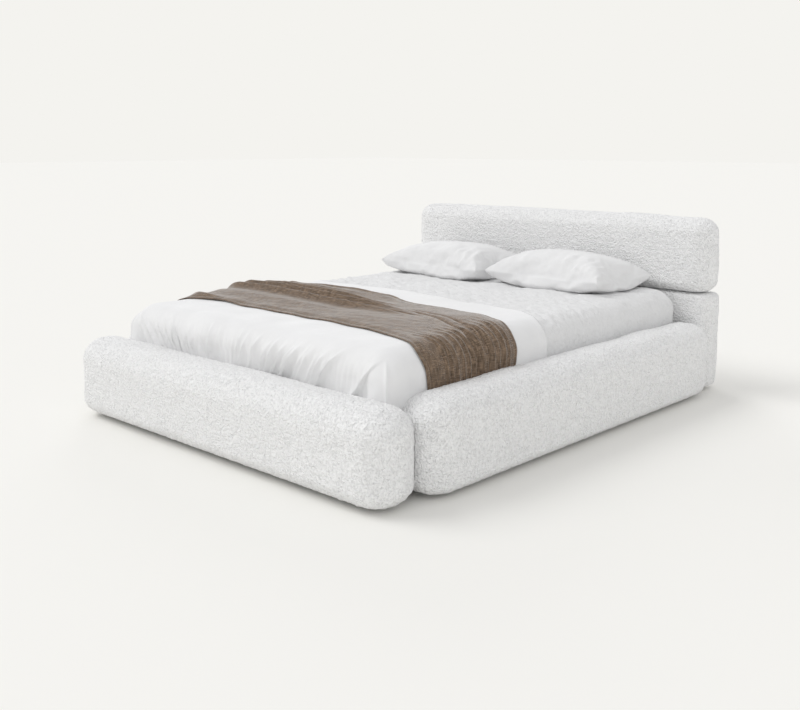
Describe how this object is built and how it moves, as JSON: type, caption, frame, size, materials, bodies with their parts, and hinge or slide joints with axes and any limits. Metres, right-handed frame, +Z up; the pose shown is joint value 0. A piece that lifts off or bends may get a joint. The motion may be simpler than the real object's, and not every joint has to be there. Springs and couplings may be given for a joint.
{
  "type": "upholstered headboard bed",
  "caption": "Low upholstered bed with rounded boucle footboard, side rails and headboard bolster, slatted base, mattress, duvet, throw and pillows.",
  "frame": {"origin": "centre of the bed on the floor, under the middle of its bounding box", "axes": "+Z up, +Y towards the headboard, +X towards the right-hand rail as seen from the foot"},
  "size_m": [1.986, 2.456, 0.844],
  "materials": {
    "boucle": "matte",
    "upholstery_foam": "matte",
    "frame_timber": "matte",
    "slat_timber": "satin",
    "webbing": "matte",
    "black_steel": "satin",
    "zinc_fasteners": "satin",
    "glide_plastic": "matte",
    "mattress_ticking": "matte",
    "mattress_foam": "matte",
    "coverlet_cotton": "matte",
    "duvet_cotton": "matte",
    "throw_linen": "matte",
    "pillow_cotton": "matte",
    "pillow_fibre": "matte"
  },
  "bodies": {
    "frame": {"headboard_upright_left": "black_steel", "headboard_upright_right": "black_steel", "footboard_cover": "boucle", "footboard_foam": "upholstery_foam", "footboard_frame": "frame_timber", "rail_left_cover": "boucle", "rail_left_foam": "upholstery_foam", "rail_left_frame": "frame_timber", "rail_right_cover": "boucle", "rail_right_foam": "upholstery_foam", "rail_right_frame": "frame_timber", "headboard_base_cover": "boucle", "headboard_base_foam": "upholstery_foam", "headboard_base_frame": "frame_timber", "headboard_bolster_cover": "boucle", "headboard_bolster_foam": "upholstery_foam", "headboard_bolster_frame": "frame_timber", "corner_bracket_foot_left": "black_steel", "corner_bracket_foot_right": "black_steel", "corner_bracket_head_left": "black_steel", "corner_bracket_head_right": "black_steel", "bracket_bolts": "zinc_fasteners", "ledger_left": "slat_timber", "ledger_right": "slat_timber", "ledger_screws": "zinc_fasteners", "slat_01": "slat_timber", "slat_02": "slat_timber", "slat_03": "slat_timber", "slat_04": "slat_timber", "slat_05": "slat_timber", "slat_06": "slat_timber", "slat_07": "slat_timber", "slat_08": "slat_timber", "slat_09": "slat_timber", "slat_10": "slat_timber", "slat_11": "slat_timber", "slat_12": "slat_timber", "slat_13": "slat_timber", "slat_straps": "webbing", "centre_beam": "black_steel", "beam_hanger_foot": "black_steel", "beam_hanger_head": "black_steel", "hanger_screws": "zinc_fasteners", "centre_leg_front": "black_steel", "centre_leg_middle": "black_steel", "centre_leg_rear": "black_steel", "floor_glides": "glide_plastic"},
    "mattress": {"mattress_cover": "mattress_ticking", "mattress_core": "mattress_foam", "coverlet": "coverlet_cotton", "duvet": "duvet_cotton", "throw": "throw_linen"},
    "pillow_left": {"pillow_left_case": "pillow_cotton", "pillow_left_filling": "pillow_fibre"},
    "pillow_right": {"pillow_right_case": "pillow_cotton", "pillow_right_filling": "pillow_fibre"},
    "levelling_foot_front": {"levelling_foot_front": "glide_plastic"},
    "levelling_foot_middle": {"levelling_foot_middle": "glide_plastic"},
    "levelling_foot_rear": {"levelling_foot_rear": "glide_plastic"}
  },
  "joints": [
    {"name": "mattress_lift", "type": "slide", "parent": "frame", "child": "mattress", "axis": [0, 0, 1], "range_m": [0, 0.45]},
    {"name": "pillow_left_lift", "type": "slide", "parent": "mattress", "child": "pillow_left", "axis": [0, 0, 1], "range_m": [0, 0.35]},
    {"name": "pillow_right_lift", "type": "slide", "parent": "mattress", "child": "pillow_right", "axis": [0, 0, 1], "range_m": [0, 0.35]},
    {"name": "levelling_foot_front_adjust", "type": "slide", "parent": "frame", "child": "levelling_foot_front", "axis": [0, 0, 1], "range_m": [0, 0.0115]},
    {"name": "levelling_foot_middle_adjust", "type": "slide", "parent": "frame", "child": "levelling_foot_middle", "axis": [0, 0, 1], "range_m": [0, 0.0115]},
    {"name": "levelling_foot_rear_adjust", "type": "slide", "parent": "frame", "child": "levelling_foot_rear", "axis": [0, 0, 1], "range_m": [0, 0.0115]}
  ]
}
